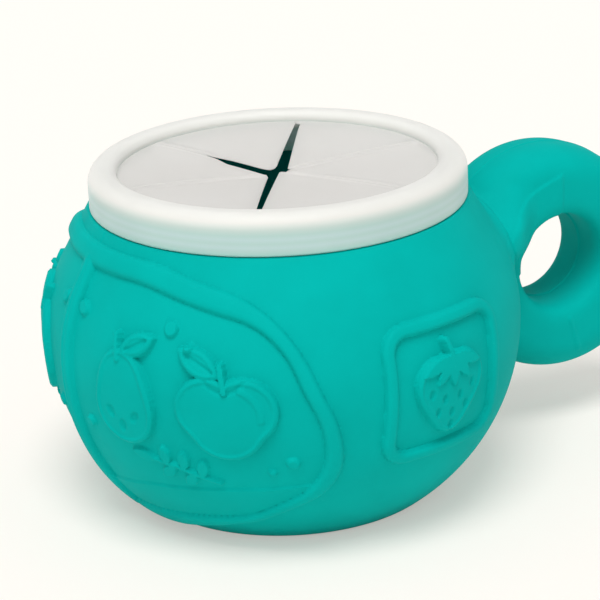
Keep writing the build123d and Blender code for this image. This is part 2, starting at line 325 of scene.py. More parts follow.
def ellipse(p, x, y, wide, high, turn=0.0):
    """Distance to a turned ellipse with these half sizes, good near it."""
    c, s = math.cos(turn), math.sin(turn)
    u, v = p[:, 0] - x, p[:, 1] - y
    u, v = (u * c + v * s) / wide, (v * c - u * s) / high
    k = np.hypot(u, v)
    slope = np.hypot(u / wide, v / high) + 1e-9
    return (k - 1) * k / slope


def bar(p, a, b, radius):
    """Distance to a straight bar with round ends."""
    a, edge = np.array(a, float), np.array(b, float) - np.array(a, float)
    share = np.clip(((p - a) @ edge) / (edge @ edge), 0, 1)
    return np.linalg.norm(p - a - share[:, None] * edge, axis=1) - radius


def blend_shapes(a, b, width):
    """Distance to two shapes joined with a soft neck."""
    h = np.maximum(width - np.abs(a - b), 0) / width
    return np.minimum(a, b) - h * h * width / 4


def leaf(p, a, b, bulge):
    """Pointed leaf from a to b, made by two equal arcs."""
    a, b = np.array(a, float), np.array(b, float)
    length = np.linalg.norm(b - a)
    along = (b - a) / length
    across = np.array([-along[1], along[0]])
    radius = (length * length / 4 + bulge * bulge) / (2 * bulge)
    middle, back = (a + b) / 2, radius - bulge
    one, two = middle + across * back, middle - across * back
    return np.maximum(circle(p, *one, radius), circle(p, *two, radius))


def smooth(t):
    """0 up to t of 0 and 1 from t of 1, with a smooth rise between."""
    t = np.clip(t, 0, 1)
    return t * t * (3 - 2 * t)


def step_up(distance, edge):
    """0 outside a shape and 1 inside it, over a rounded shoulder of width edge."""
    return smooth(0.5 - distance / edge)


def ridge(distance, half_width):
    """Rounded ridge along the line where distance is 0."""
    t = np.clip(np.abs(distance) / half_width, 0, 1)
    return (1 - t * t) ** 1.5


def between(height, low, rise, high, fall):
    """1 between two heights: it grows over rise from low up, and goes over fall up to high."""
    return smooth((height - low) / rise) * smooth((high - height) / fall)


# ---------------------------------------------------------------- the cup's wall

def wall_radius(height, out=0.0):
    """Radius of the wall, moved outwards by out, at heights."""
    height = np.asarray(height, float)
    lower, upper = LOWER_CURVE + out, UPPER_CURVE + out
    bend = BELLY_Z + upper * math.sin(SHOULDER_TILT)
    below = BELLY_R - LOWER_CURVE + np.sqrt(np.maximum(lower ** 2 - (BELLY_Z - height) ** 2, 1.0))
    rise = np.clip(height - BELLY_Z, 0, bend - BELLY_Z)
    above = BELLY_R - UPPER_CURVE + np.sqrt(upper ** 2 - rise ** 2)
    above = above - np.maximum(height - bend, 0) * math.tan(SHOULDER_TILT)
    return np.where(height < BELLY_Z, below, above)


def wall_outline(out, low_turn, top_z, step):
    """Half section of the wall from below the belly to the top, moved outwards by out."""
    lower, upper = LOWER_CURVE + out, UPPER_CURVE + out
    below = arc((BELLY_R - LOWER_CURVE, BELLY_Z), lower, low_turn, 0, step)
    above = arc((BELLY_R - UPPER_CURVE, BELLY_Z), upper, 0, SHOULDER_TILT, step)
    shoulder = line(above[-1], (float(wall_radius(top_z, out)), top_z), step)
    return joined(below, above, shoulder)


def corner_circle(radius, inside_of, floor):
    """Centre of a fillet between a flat floor and the lower arc, and the arc's angle where they meet."""
    rise = BELLY_Z - floor - radius
    reach = math.sqrt((inside_of - radius) ** 2 - rise ** 2)
    return (BELLY_R - LOWER_CURVE + reach, floor + radius), -math.atan2(rise, reach)


def cup_outlines(step):
    """Half section of the cup in four stretches: base, outside with its relief, neck and inside."""
    foot, foot_turn = corner_circle(BASE_ROUND, LOWER_CURVE, 0)
    nook, nook_turn = corner_circle(FLOOR_ROUND, LOWER_CURVE - WALL, FLOOR_Z)
    bevel_z = RIM_Z - RIM_BEVEL
    base = joined(
        line((0.0, 0.0), (foot[0], 0.0), FLAT_STEP),
        arc(foot, BASE_ROUND, -math.pi / 2, foot_turn, ROUND_STEP),
    )
    outside = wall_outline(0, foot_turn, SEAT_Z, step)
    neck = joined(
        line((outside[-1][0], SEAT_Z), (NECK_OUT_R, SEAT_Z), SHORT_STEP),
        line((NECK_OUT_R, SEAT_Z), (NECK_OUT_R, bevel_z), PLAIN_STEP),
        line((NECK_OUT_R, bevel_z), (NECK_OUT_R - RIM_BEVEL, RIM_Z), SHORT_STEP),
        line((NECK_OUT_R - RIM_BEVEL, RIM_Z), (NECK_IN_R + RIM_BEVEL, RIM_Z), SHORT_STEP),
        line((NECK_IN_R + RIM_BEVEL, RIM_Z), (NECK_IN_R, bevel_z), SHORT_STEP),
    )
    inner = wall_outline(-WALL, nook_turn, SEAT_Z, PLAIN_STEP)[::-1]
    inner = inner[inner[:, 0] > NECK_IN_R]
    slope_top = SEAT_Z + (float(wall_radius(SEAT_Z, -WALL)) - NECK_IN_R) / math.tan(SHOULDER_TILT)
    inside = joined(
        line((NECK_IN_R, bevel_z), (NECK_IN_R, slope_top), PLAIN_STEP),
        inner,
        arc(nook, FLOOR_ROUND, nook_turn, -math.pi / 2, SHORT_STEP),
        line((nook[0], FLOOR_Z), (0.0, FLOOR_Z), FLAT_STEP),
    )
    return base, outside, neck, inside


def turn_steps(fine):
    """Angles round the cup: close together over the relief, closest at the mould line at the front."""
    stretches = [
        (-HANDLE_SIDE, HANDLE_SIDE, HANDLE_TURN),
        (HANDLE_SIDE, PLAIN_SIDE, PLAIN_TURN),
        (PLAIN_SIDE, 180 - SEAM_SIDE, fine),
        (180 - SEAM_SIDE, 180 + SEAM_SIDE, SEAM_TURN),
        (180 + SEAM_SIDE, 360 - PLAIN_SIDE, fine),
        (360 - PLAIN_SIDE, 360 - HANDLE_SIDE, PLAIN_TURN),
    ]
    turns = [np.linspace(a, b, math.ceil((b - a) / step), endpoint=False) for a, b, step in stretches]
    return np.radians(np.concatenate(turns))


# ---------------------------------------------------------------- relief on the wall

def seen_from(points, turn):
    """Points as a drawing seen square-on from outside at a turn from +X: sideways, and up."""
    sideways = -points[:, 0] * math.sin(turn) + points[:, 1] * math.cos(turn)
    outwards = points[:, 0] * math.cos(turn) + points[:, 1] * math.sin(turn)
    return np.stack([sideways, points[:, 2]], -1), outwards > 0


def rounded(across):
    """Section of a bead over its width, from -1 to 1: flat on top with round shoulders."""
    return np.sqrt(np.clip(1 - np.abs(across) ** 3, 0, 1))


def band(outer, inner, height):
    """Rounded bead between two outlines, from the distances to both."""
    inside = (outer < 0) & (inner > 0)
    across = np.where(inside, (-outer - inner) / np.maximum(inner - outer, 1e-6), 1.0)
    return height * rounded(across) * inside


def plate(distance, out=PLATE_OUT):
    """Flat plate with a raised line just inside its edge."""
    return out * step_up(distance, PLATE_EDGE) + LINE_OUT * ridge(distance + LINE_INSET, LINE_HALF)


def vein(p, a, b):
    """Depth of a fine groove along a leaf."""
    return VEIN_DEEP * ridge(bar(p, a, b, HAIRLINE), FINE_EDGE)


def stem(p, a, b, radius):
    """Height of a fruit's short stem."""
    return STEM_OUT * step_up(bar(p, a, b, radius), FINE_EDGE)


def apple(p):
    """Apple with a leaf: a plate with a stem, a dimple and a curved glint."""
    body = blend_shapes(circle(p, -3.8, 0.8, 7.4), circle(p, 3.8, 0.8, 7.4), 1.0)
    body = blend_shapes(body, circle(p, 0, -2.4, 8.4), 1.0)
    blade = leaf(p, (0.8, 8.0), (10.6, 13.6), 2.8)
    dimple = np.abs(circle(p, 0, 9.6, 4.6)) - HAIRLINE
    upper_left = np.maximum(p[:, 0] + 3.2, -1.2 - p[:, 1])
    glint = np.maximum(np.abs(circle(p, -1.0, -0.6, 6.6)) - 0.3, upper_left)
    height = np.maximum(plate(body), plate(blade))
    height -= DIMPLE_DEEP * ridge(np.maximum(dimple, 0), SOFT_EDGE) * (body < -0.6)
    height += LINE_OUT * ridge(np.maximum(glint, 0), FINE_EDGE) * (body < -1.6)
    height -= vein(p, (2.6, 9.2), (8.4, 12.4))
    return np.maximum(height, stem(p, (-0.2, 5.2), (0.8, 10.6), 0.8))


def pear(p):
    """Pear with a leaf: a plate with a stem and three seeds."""
    body = blend_shapes(circle(p, 0, -4.0, 7.8), circle(p, 0.4, 5.0, 4.6), 9.0)
    blade = leaf(p, (0.8, 9.0), (-8.2, 13.4), 2.4)
    height = np.maximum(plate(body), plate(blade))
    for x, y, turn in ((-3.0, -4.8, 0.5), (0.4, -7.4, 0.0), (3.4, -4.6, -0.5)):
        height -= SEED_DEEP * step_up(ellipse(p, x, y, 0.75, 1.35, turn), SOFT_EDGE)
    height -= vein(p, (-1.2, 9.8), (-6.2, 12.4))
    return np.maximum(height, stem(p, (1.0, 7.6), (1.6, 12.6), 0.75))


def strawberry(p):
    """Strawberry: a plate with seeds sunk in it and a leafy crown."""
    body = blend_shapes(circle(p, -3.4, 2.0, 6.2), circle(p, 3.4, 2.0, 6.2), 2.0)
    body = blend_shapes(body, circle(p, 0, -6.6, 3.0), 10.0)
    ends = [(-8.4, 4.6), (-4.6, 1.8), (0, 0.6), (4.6, 1.8), (8.4, 4.6)]
    crown = np.minimum.reduce([leaf(p, (0, 8.0), end, 1.5) for end in ends])
    stalk = bar(p, (0, 7.6), (1.2, 11.4), 0.8)
    seeds = [(-5.8, 0.2), (5.8, 0.2), (-2.2, -1.6), (2.2, -1.6),
             (-4.0, -4.4), (4.0, -4.4), (0, -5.2), (0, -8.2)]
    height = plate(body, BERRY_OUT)
    for x, y in seeds:
        height -= SEED_DEEP * step_up(ellipse(p, x, y, 0.6, 1.0), FINE_EDGE)
    return np.maximum(height, CROWN_OUT * step_up(np.minimum(crown, stalk), FINE_EDGE))


def sprig(p):
    """Curved stalk with leaves on both sides."""
    stalk = np.minimum(bar(p, (-9.4, -4.2), (0.2, -0.8), 0.55), bar(p, (0.2, -0.8), (6.4, 0.3), 0.55))
    ends = [((-5.4, -2.8), (-6.8, 1.8)), ((-1.6, -1.4), (-2.0, 3.4)), ((2.2, -0.6), (3.2, 4.0)),
            ((-4.2, -2.4), (-1.2, -5.6)), ((0.4, -0.9), (4.4, -4.2)), ((5.0, 0.0), (11.4, 1.4))]
    blades = np.minimum.reduce([leaf(p, a, b, 1.4) for a, b in ends])
    return SPRIG_OUT * step_up(np.minimum(stalk, blades), FINE_EDGE)


def placed(shape, drawing, x, y):
    """A motif's height where it is set in a panel's drawing."""
    local = drawing - np.array([x, y])
    near = np.hypot(local[:, 0], local[:, 1]) < MOTIF_REACH
    height = np.zeros(len(drawing))
    height[near] = shape(local[near])
    return height


def relief(points):
    """How far the wall's surface stands out at points on it; both sides are alike."""
    points = np.stack([points[:, 0], np.abs(points[:, 1]), points[:, 2]], -1)

    large, ahead = seen_from(points, FRAME_TURN)
    outer = outline_distance(large, rounded_path(FRAME_OUTER, OUTER_CORNERS))
    inner = outline_distance(large, rounded_path(FRAME_INNER, INNER_CORNERS))
    ledge = step_up(outline_distance(large, np.array(LEDGE, float)), SOFT_EDGE)
    motifs = placed(apple, large, *APPLE_AT) + placed(pear, large, *PEAR_AT)
    motifs += placed(sprig, large, *SPRIG_AT)
    for x, y, radius in DOTS:
        motifs += DOT_OUT * step_up(circle(large, x, y, radius), SOFT_EDGE)
    inside = np.maximum(LEDGE_OUT * ledge * (inner < 0), motifs * (inner < -MOTIF_INSET))
    height = np.where(ahead, np.maximum(band(outer, inner, BEAD), inside), 0)

    in_reach = (points[:, 2] > DIVIDER_LOW) & (points[:, 2] < DIVIDER_HIGH)
    across = np.where(in_reach, points[:, 1] / DIVIDER_HALF, 1)
    divider = BEAD * rounded(across) + MOULD_LINE_OUT * ridge(points[:, 1], MOULD_LINE_HALF)
    height = np.where(points[:, 0] < 0, np.maximum(height, divider), height)

    small, ahead = seen_from(points, WINDOW_TURN)
    half_size = np.array([WINDOW_WIDE, WINDOW_HIGH]) / 2
    box = np.abs(small - np.array([0, WINDOW_Z])) - half_size + WINDOW_CORNER
    outer = np.linalg.norm(np.maximum(box, 0), axis=1) + np.minimum(box.max(axis=1), 0) - WINDOW_CORNER
    window = band(outer, outer + WINDOW_BEAD, BEAD) + placed(strawberry, small, *BERRY_AT)
    return np.maximum(height, np.where(ahead, window, 0))


# ---------------------------------------------------------------- the ring handle

def ring_reach(turn):
    """Distance from the finger hole's centre to the ring's outside, at angles in its plane."""
    dx, dz = np.cos(turn), np.sin(turn)
    c, s = math.cos(RING_TILT), math.sin(RING_TILT)
    ox, oz = FINGER_X - RING_X, FINGER_Z - RING_Z
    px, pz = (ox * c + oz * s) / RING_LONG, (oz * c - ox * s) / RING_SHORT
    qx, qz = (dx * c + dz * s) / RING_LONG, (dz * c - dx * s) / RING_SHORT
    a, b, k = qx * qx + qz * qz, 2 * (px * qx + pz * qz), px * px + pz * pz - 1
    return (-b + np.sqrt(b * b - 4 * a * k)) / (2 * a)


def ring_half(points):
    """Half width of the ring, which grows towards its upper root."""
    height = between(points[:, 2], *WIDER_HEIGHTS)
    return RING_HALF + ROOT_WIDER * smooth((WIDER_X - points[:, 0]) / WIDER_LENGTH) * height


def ring_distance(points):
    """Distance to the ring's surface, negative inside, good near it."""
    def level(p):
        x, z = p[:, 0] - FINGER_X, p[:, 2] - FINGER_Z
        reach = ring_reach(np.arctan2(z, x))
        half, middle = (reach - FINGER_R) / 2, (reach + FINGER_R) / 2
        across = (np.hypot(x, z) - middle) / half
        deep = np.abs(p[:, 1]) / ring_half(p)
        power = np.where(across < 0, HOLE_SQUARENESS, OUTER_SQUARENESS)
        return (np.abs(across) ** power + deep ** power) ** (1 / power)

    tiny = 0.01
    value = level(points)
    slope = [(level(points + np.eye(3)[k] * tiny) - value) / tiny for k in range(3)]
    return (value - 1) / np.maximum(np.linalg.norm(slope, axis=0), 1e-6)


def wall_distance(points):
    """Distance to the cup's wall, negative inside it, good near it."""
    rise = points[:, 2] - BELLY_Z
    above = np.minimum(rise / UPPER_CURVE, math.sin(SHOULDER_TILT))
    lean = np.where(rise > 0, above, rise / LOWER_CURVE)
    radius = np.hypot(points[:, 0], points[:, 1])
    return (radius - wall_radius(points[:, 2])) * np.sqrt(np.clip(1 - lean * lean, 0.1, 1))


def flow(points, normals, other):
    """Moves a surface out along its normals to where it flows smoothly into another one."""
    out = np.zeros(len(points))
    fade = np.clip((SEAT_Z - points[:, 2]) / (SEAT_Z - ROOT_TOP), 0, 1)
    flare = between(points[:, 2], *FLARE_HEIGHTS)
    flare *= smooth((np.abs(points[:, 1]) - FLARE_SIDE) / FLARE_WIDTH)
    reach = ROOT_BLEND + ROOT_FLARE * flare
    for _ in range(FLOW_PASSES):
        gap = np.abs(other(points + normals * out[:, None]))
        out = fade * reach / 4 * np.clip(1 - np.abs(gap - out) / reach, 0, 1) ** 2
    return points + normals * out[:, None]


def ring_mesh(around=300, across=220):
    """Points and quads of the handle, with its mould line and the faint marks on its sides."""
    u = np.linspace(0, 2 * math.pi, around, endpoint=False)
    v = np.linspace(0, 2 * math.pi, across, endpoint=False)
    u, v = np.meshgrid(u, v, indexing="ij")
    reach = ring_reach(u)
    half, middle = (reach - FINGER_R) / 2, (reach + FINGER_R) / 2
    power = np.where(np.cos(v) < 0, HOLE_SQUARENESS, OUTER_SQUARENESS)
    reach_v = (np.abs(np.cos(v)) ** power + np.abs(np.sin(v)) ** power) ** (-1 / power)
    rho = middle + half * reach_v * np.cos(v)
    points = np.stack([FINGER_X + rho * np.cos(u), reach_v * np.sin(v), FINGER_Z + rho * np.sin(u)], -1)
    points[..., 1] *= ring_half(points.reshape(-1, 3)).reshape(u.shape)
    du = np.roll(points, -1, 0) - np.roll(points, 1, 0)
    dv = np.roll(points, -1, 1) - np.roll(points, 1, 1)
    normals = np.cross(dv, du)
    normals /= np.linalg.norm(normals, axis=2)[..., None]
    points, normals = points.reshape(-1, 3), normals.reshape(-1, 3)
    sides = np.clip((np.abs(points[:, 1]) - MARKS_SIDE) / MARKS_WIDTH, 0, 1)
    flat = points[:, [0, 2]]
    pad = step_up(outline_distance(flat, np.array(PAD, float)), PAD_EDGE)
    pad += LEG_LINE_SHARE * ridge(bar(flat, *LEG_LINE, HAIRLINE), LEG_LINE_HALF)
    in_hole = np.hypot(flat[:, 0] - FINGER_X, flat[:, 1] - FINGER_Z) < FINGER_R + HOLE_EDGE
    mould_line = MOULD_LINE_OUT * (1 + in_hole) * ridge(points[:, 1], MOULD_LINE_HALF)
    marks = mould_line + PAD_OUT * pad * sides
    points = points + normals * marks[:, None]
    points = flow(points, normals, wall_distance)
    # The end that the wall hides stays within the wall's thickness, out of the cavity
    radius = np.hypot(points[:, 0], points[:, 1])
    inner = wall_radius(points[:, 2]) - WALL / 2
    pull = np.where(radius < inner, inner / radius, 1.0)
    points[:, :2] *= pull[:, None]
    return points, grid_faces(around, across, True, True)[:, ::-1]


# ---------------------------------------------------------------- pieces

def cup_mesh(quick):
    """Points and quads of the whole cup: wall with relief, cavity and ring handle."""
    step, fine = QUICK_STEPS if quick else FULL_STEPS
    base, outside, neck, inside = cup_outlines(step)
    outline = joined(base, outside, neck, inside)
    normals = outline_normals(outline)
    start = len(base) - 1
    stop = start + len(outside)
    normals[start:stop] = outline_normals(outside)
    turns = turn_steps(fine)
    rings = outline[1:-1]
    points, outs = revolved(rings, turns), revolved(normals[1:-1], turns)
    wall = slice(start - 1, stop - 1)
    skin, skin_out = points[wall].reshape(-1, 3), outs[wall].reshape(-1, 3)
    height = relief(skin)
    raised = skin + skin_out * height[:, None]
    near_ring = (skin[:, 0] > NEAR_RING_X) & (np.abs(skin[:, 1]) < NEAR_RING_Y)
    raised[near_ring] = flow(skin[near_ring], skin_out[near_ring], ring_distance)
    points[wall] = raised.reshape(points[wall].shape)
    count = len(turns)
    quads = grid_faces(len(rings), count, False, True).tolist()
    flat = points.reshape(-1, 3)
    bottom, floor = len(flat), len(flat) + 1
    last = (len(rings) - 1) * count
    fans = [(bottom, (k + 1) % count, k) for k in range(count)]
    fans += [(floor, last + k, last + (k + 1) % count) for k in range(count)]
    flat = np.concatenate([flat, [[0, 0, 0], [0, 0, FLOOR_Z]]])
    ring_points, ring_quads = ring_mesh()
    faces = quads + fans + (ring_quads + len(flat)).tolist()
    return np.concatenate([flat, ring_points]), faces


def rim_outline():
    """Half section of the cover without its disc: crown, skirt, channel for the neck, and plug."""
    skirt_r, plug_out_r = NECK_OUT_R + FIT, NECK_IN_R - FIT
    skirt_low, channel = SEAT_Z + FIT, RIM_Z + FIT
    crown = (COVER_R - COVER_ROUND, COVER_TOP - COVER_ROUND)
    roll = (DISC_R + RIM_ROLL, COVER_TOP - RIM_ROLL)
    quarter, lip = math.pi / 2, LIP_ROUND
    return joined(
        line((PLUG_R, DISC_TOP - DISC_THICK), (PLUG_R, PLUG_BOTTOM + lip), PLAIN_STEP),
        arc((PLUG_R + lip, PLUG_BOTTOM + lip), lip, 2 * quarter, 3 * quarter, LIP_STEP),
        arc((plug_out_r - lip, PLUG_BOTTOM + lip), lip, 3 * quarter, 4 * quarter, LIP_STEP),
        line((plug_out_r, PLUG_BOTTOM + lip), (plug_out_r, channel), PLAIN_STEP),
        line((plug_out_r, channel), (skirt_r, channel), SHORT_STEP),
        line((skirt_r, channel), (skirt_r, skirt_low + lip), PLAIN_STEP),
        arc((skirt_r + lip, skirt_low + lip), lip, 2 * quarter, 3 * quarter, LIP_STEP),
        arc((COVER_R - lip, skirt_low + lip), lip, 3 * quarter, 4 * quarter, LIP_STEP),
        line((COVER_R, skirt_low + lip), (COVER_R, COVER_TOP - COVER_ROUND), SHORT_STEP),
        arc(crown, COVER_ROUND, 0, quarter, ROUND_STEP),
        line((crown[0], COVER_TOP), (roll[0], COVER_TOP), SHORT_STEP),
        arc(roll, RIM_ROLL, quarter, 2 * quarter, ROLL_STEP),
        line((DISC_R, COVER_TOP - RIM_ROLL), (DISC_R, DISC_TOP - DISC_THICK), EDGE_STEP),
    )


def cover_rim():
    """The cover's rim as a closed ring."""
    outline = rim_outline()
    points = revolved(outline, np.linspace(0, 2 * math.pi, RIM_TURNS, endpoint=False))
    faces = grid_faces(len(outline), RIM_TURNS, True, True)
    return mesh_object("cover_rim", points.reshape(-1, 3), faces, RIM_SHARP)


def clearance(edge, tip, slit, rho):
    """Distance of a flap's edge from the middle of its slit; past the slit's end it is shut."""
    slit %= FLAPS
    end = SLIT_ENDS[slit]
    open_part = tip + (edge - tip) * np.clip(rho / end, 0, 1)
    shut = np.clip((rho - end) / SLIT_TAPERS[slit], 0, 1)
    return open_part * (1 - shut) + SHUT_GAP * shut


def flap_sheet(number):
    """Rows of points over a flap from its tip to the disc's edge, with distances to its slits and tip."""
    first = SLIT_TURN + number * FLAP_STEP
    (start_tip, start_end), (end_tip, end_end) = FLAP_EDGES[number]
    tip = (start_tip + end_tip) / 2
    lean = (start_tip - end_tip) / 2 / math.cos(FLAP_STEP / 2)
    tip_round = TIP_ROUNDS[number]
    centre = (tip + tip_round) / math.sin(FLAP_STEP / 2)
    nose = centre - tip_round
    rho = np.concatenate([
        nose + np.array(TIP_ROWS),
        np.arange(nose + EVEN_ROWS_FROM, RIM_ROWS_R, ROW_STEP),
        np.arange(RIM_ROWS_R, DISC_R + INTO_RIM, RIM_ROW_STEP),
    ])
    before = clearance(start_end, tip, number, rho)
    after = clearance(end_end, tip, number + 1, rho)
    start = first + np.arcsin(np.clip(before / rho, -1, 1))
    end = first + FLAP_STEP - np.arcsin(np.clip(after / rho, -1, 1))
    middle = first + FLAP_STEP / 2
    cosine = (rho ** 2 + centre ** 2 - tip_round ** 2) / (2 * rho * centre)
    round_half = np.arccos(np.clip(cosine, -1, 1))
    at_tip = rho < math.sqrt(max(centre ** 2 - tip_round ** 2, 0))
    start = np.where(at_tip, np.maximum(start, middle - round_half), start)
    end = np.where(at_tip, np.minimum(end, middle + round_half), end)
    length = np.maximum((end - start) * rho, 1e-4)
    near, most = np.array(EDGE_COLUMNS), np.linspace(0, EDGE_SHARE, len(EDGE_COLUMNS))
    share = np.minimum(near[None, :] / length[:, None], most[None, :])
    middle_share = np.linspace(0, 1, MIDDLE_COLUMNS + 2)[1:-1]
    inner = share[:, -1:] + (1 - 2 * share[:, -1:]) * middle_share[None, :]
    columns = np.concatenate([share, inner, 1 - share[:, ::-1]], 1)
    turn = start[:, None] + (end - start)[:, None] * columns
    shift = lean * np.clip(1 - rho / LEAN_END, 0, 1)
    x = rho[:, None] * np.cos(turn) - (shift * math.sin(middle))[:, None]
    y = rho[:, None] * np.sin(turn) + (shift * math.cos(middle))[:, None]
    return x, y, columns * length[:, None], (1 - columns) * length[:, None], rho - nose


def lip(gap, rho, slit):
    """Slight swelling along a slit where it is shut, which fades at the flap's tip and at the cut's end."""
    slit %= FLAPS
    first = LIP_FROM if slit in SHUT_SLITS else SLIT_ENDS[slit] + SLIT_TAPERS[slit]
    along = np.clip((rho - first) / LIP_GROW, 0, 1) * np.clip((SLIT_LINES[slit] - rho) / LIP_FADE, 0, 1)
    return LIP_RISE * np.exp(-((gap - LIP_PLACE) / LIP_WIDTH) ** 2) * along


def flap_piece(number):
    """One flap, with the stretch of disc between its hinge line and the rim."""
    x, y, before, after, from_tip = flap_sheet(number)
    mid_turn = SLIT_TURN + (number + 0.5) * FLAP_STEP
    rho = np.hypot(x, y)
    inwards = np.clip(HINGE_R - (x * math.cos(mid_turn) + y * math.sin(mid_turn)), 0, None)
    drop = TIP_DROPS[number] * (inwards / HINGE_R) ** SAG_POWER
    gap = np.minimum(before, after)
    edge = np.clip(gap / ROUND_WIDTH, 0, 1)
    cut = np.where(before < after, SLIT_LINES[number], SLIT_LINES[(number + 1) % FLAPS])
    free = np.clip((cut - rho) / CUT_FADE, 0, 1)
    round_off = EDGE_ROUND * (1 - np.sqrt(1 - (1 - edge) ** 2)) * free
    rise = lip(before, rho, number) + lip(after, rho, number + 1)
    groove = GROOVE_DEEP * np.clip((rho - GROOVE_R) / GROOVE_WIDTH, 0, 1)
    inset = np.clip(np.minimum(gap, from_tip[:, None] + TIP_LESS) / EDGE_BEVEL, 0, 1)
    thick = EDGE_THICK + (DISC_THICK - EDGE_THICK) * inset
    thick = thick * free + DISC_THICK * (1 - free)
    top = np.stack([x, y, DISC_TOP - drop - round_off + rise - groove], -1)
    low = np.stack([x, y, DISC_TOP - thick - drop + round_off], -1)
    rows, columns = x.shape
    count = rows * columns
    faces = grid_faces(rows, columns, False, False).tolist()
    under = (grid_faces(rows, columns, False, False)[:, ::-1] + count).tolist()
    rim = [k * columns for k in range(rows)] + [(rows - 1) * columns + k for k in range(1, columns)]
    rim += [k * columns + columns - 1 for k in range(rows - 2, -1, -1)] + list(range(columns - 2, 0, -1))
    walls = [(a, b, b + count, a + count) for a, b in zip(rim, rim[1:] + rim[:1])]
    points = np.concatenate([top.reshape(-1, 3), low.reshape(-1, 3)])
    return mesh_object(f"soft_flap_{number + 1}", points, faces + under + walls, SHARP)


# ---------------------------------------------------------------- materials

class Shader:
    """A small helper that adds nodes to a material and links them."""

    def __init__(self, name):
        self.material = bpy.data.materials.new(name)
        self.material.use_nodes = True
        self.tree = self.material.node_tree
        self.surface = self.tree.nodes["Principled BSDF"]

    def add(self, kind, values=None, **settings):
        node = self.tree.nodes.new(kind)
        for key, value in settings.items():
            setattr(node, key, value)
        for key, value in (values or {}).items():
            node.inputs[key].default_value = value
        return node

    def link(self, source, target):
        self.tree.links.new(source, target)

    def place(self):
        """Coordinates of the piece itself."""
        return self.add("ShaderNodeTexCoord").outputs["Object"]

    def noise(self, scale, detail, roughness=0.55):
        """Noise in the piece's own place, with scale in cells per metre."""
        values = {"Scale": scale, "Detail": detail, "Roughness": roughness}
        node = self.add("ShaderNodeTexNoise", values)
        self.link(self.place(), node.inputs["Vector"])
        return node.outputs["Fac"]

    def ramp(self, value, stops):
        """Colours along a value, from stops of position and colour."""
        node = self.add("ShaderNodeValToRGB")
        node.color_ramp.elements[0].position, node.color_ramp.elements[0].color = stops[0]
        node.color_ramp.elements[1].position, node.color_ramp.elements[1].color = stops[-1]
        for position, colour in stops[1:-1]:
            node.color_ramp.elements.new(position).color = colour
        self.link(value, node.inputs["Fac"])
        return node.outputs["Color"]

    def bump(self, height, strength, distance):
        """Fine grain on the surface."""
        node = self.add("ShaderNodeBump", {"Strength": strength, "Distance": distance})
        self.link(height, node.inputs["Height"])
        self.link(node.outputs["Normal"], self.surface.inputs["Normal"])


def srgb(colour):
    """Linear colour from screen values of 0 to 255, by the sRGB standard's curve."""
    def linear(c):
        c /= 255
        return c / 12.92 if c <= 0.04045 else ((c + 0.055) / 1.055) ** 2.4
    return (*map(linear, colour), 1.0)


def cup_material():
    """Matte teal silicone: faintly mottled, with tiny pale specks and a very fine grain."""
    s = Shader("matte_teal_silicone")
    cloudy = s.ramp(s.noise(scale=60.0, detail=4.0), [(0.3, srgb(TEAL_DEEP)), (0.7, srgb(TEAL_CLEAR))])
    dust = s.ramp(s.noise(scale=1500.0, detail=2.0), [(0.70, BLACK), (0.78, WHITE)])
    mixed = s.add("ShaderNodeMix", data_type="RGBA")
    mixed.inputs[7].default_value = srgb(TEAL_DUST)
    amount = s.add("ShaderNodeMath", {1: DUST_SHARE}, operation="MULTIPLY")
    s.link(dust, amount.inputs[0])
    s.link(amount.outputs[0], mixed.inputs["Factor"])
    s.link(cloudy, mixed.inputs[6])
    s.link(mixed.outputs[2], s.surface.inputs["Base Color"])
    s.surface.inputs["Roughness"].default_value = 0.7
    s.surface.inputs["Specular IOR Level"].default_value = 0.03
    s.bump(s.noise(scale=2600.0, detail=2.0), strength=0.08, distance=0.0002)
    return s.material


def cover_material(name, colours, low_alpha, top_alpha):
    """Translucent satin silicone, clearer low on the skirt; on the rim its colours by height hold a painted
    teal glow in faint bands.
    """
    s = Shader(name)
    height = s.add("ShaderNodeSeparateXYZ")
    s.link(s.place(), height.inputs[0])
    level = s.add("ShaderNodeMapRange", {"From Min": SEAT_Z * MM, "From Max": COVER_TOP * MM})
    s.link(height.outputs["Z"], level.inputs["Value"])
    # Colours by height: on the rim a painted teal glow and painted bands, on the disc its own colour
    stops = [((z - SEAT_Z) / (COVER_TOP - SEAT_Z), srgb(colour)) for z, colour in colours]
    tint = s.ramp(level.outputs["Result"], stops)
    mottle = s.ramp(s.noise(scale=35.0, detail=3.0), [(0.35, MOTTLE), (0.65, WHITE)])
    mixed = s.add("ShaderNodeMix", {"Factor": 1.0}, data_type="RGBA", blend_type="MULTIPLY")
    s.link(tint, mixed.inputs[6])
    s.link(mottle, mixed.inputs[7])
    s.link(mixed.outputs[2], s.surface.inputs["Base Color"])
    s.surface.inputs["Roughness"].default_value = 0.45
    s.surface.inputs["Specular IOR Level"].default_value = 0.3
    s.surface.inputs["Sheen Weight"].default_value = 0.5
    s.surface.inputs["Sheen Roughness"].default_value = 0.5
    s.surface.inputs["Subsurface Weight"].default_value = 0.35
    s.surface.inputs["Subsurface Radius"].default_value = (1.0, 1.0, 1.0)
    s.surface.inputs["Subsurface Scale"].default_value = 0.002
    limits = {"From Min": SKIRT_CLEAR_Z * MM, "From Max": CROWN_MILKY_Z * MM,
              "To Min": low_alpha, "To Max": top_alpha}
    share = s.add("ShaderNodeMapRange", limits, interpolation_type="SMOOTHSTEP")
    s.link(height.outputs["Z"], share.inputs["Value"])
    s.link(share.outputs["Result"], s.surface.inputs["Alpha"])
    s.bump(s.noise(scale=900.0, detail=2.0), strength=0.05, distance=0.0003)
    return s.material


